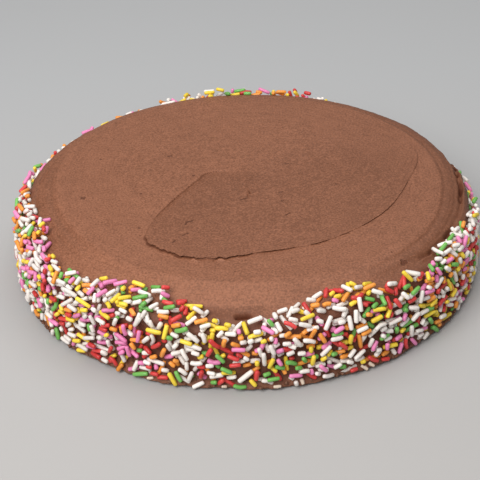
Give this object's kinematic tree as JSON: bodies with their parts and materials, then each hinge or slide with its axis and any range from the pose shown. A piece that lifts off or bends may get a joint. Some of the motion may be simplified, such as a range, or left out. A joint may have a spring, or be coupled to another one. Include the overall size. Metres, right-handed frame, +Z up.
{
  "type": "chocolate cake",
  "caption": "Round single-layer chocolate cake with spread icing and rainbow sprinkles pressed into its side.",
  "frame": {"origin": "middle of the flat bottom, where the cake rests", "axes": "+Z up out of the top; -Y towards the front, where the top slopes down the most"},
  "size_m": [0.2126, 0.2138, 0.0376],
  "materials": {
    "iced_cake": "satin"
  },
  "bodies": {
    "root": {"iced_cake": "iced_cake"}
  },
  "joints": []
}
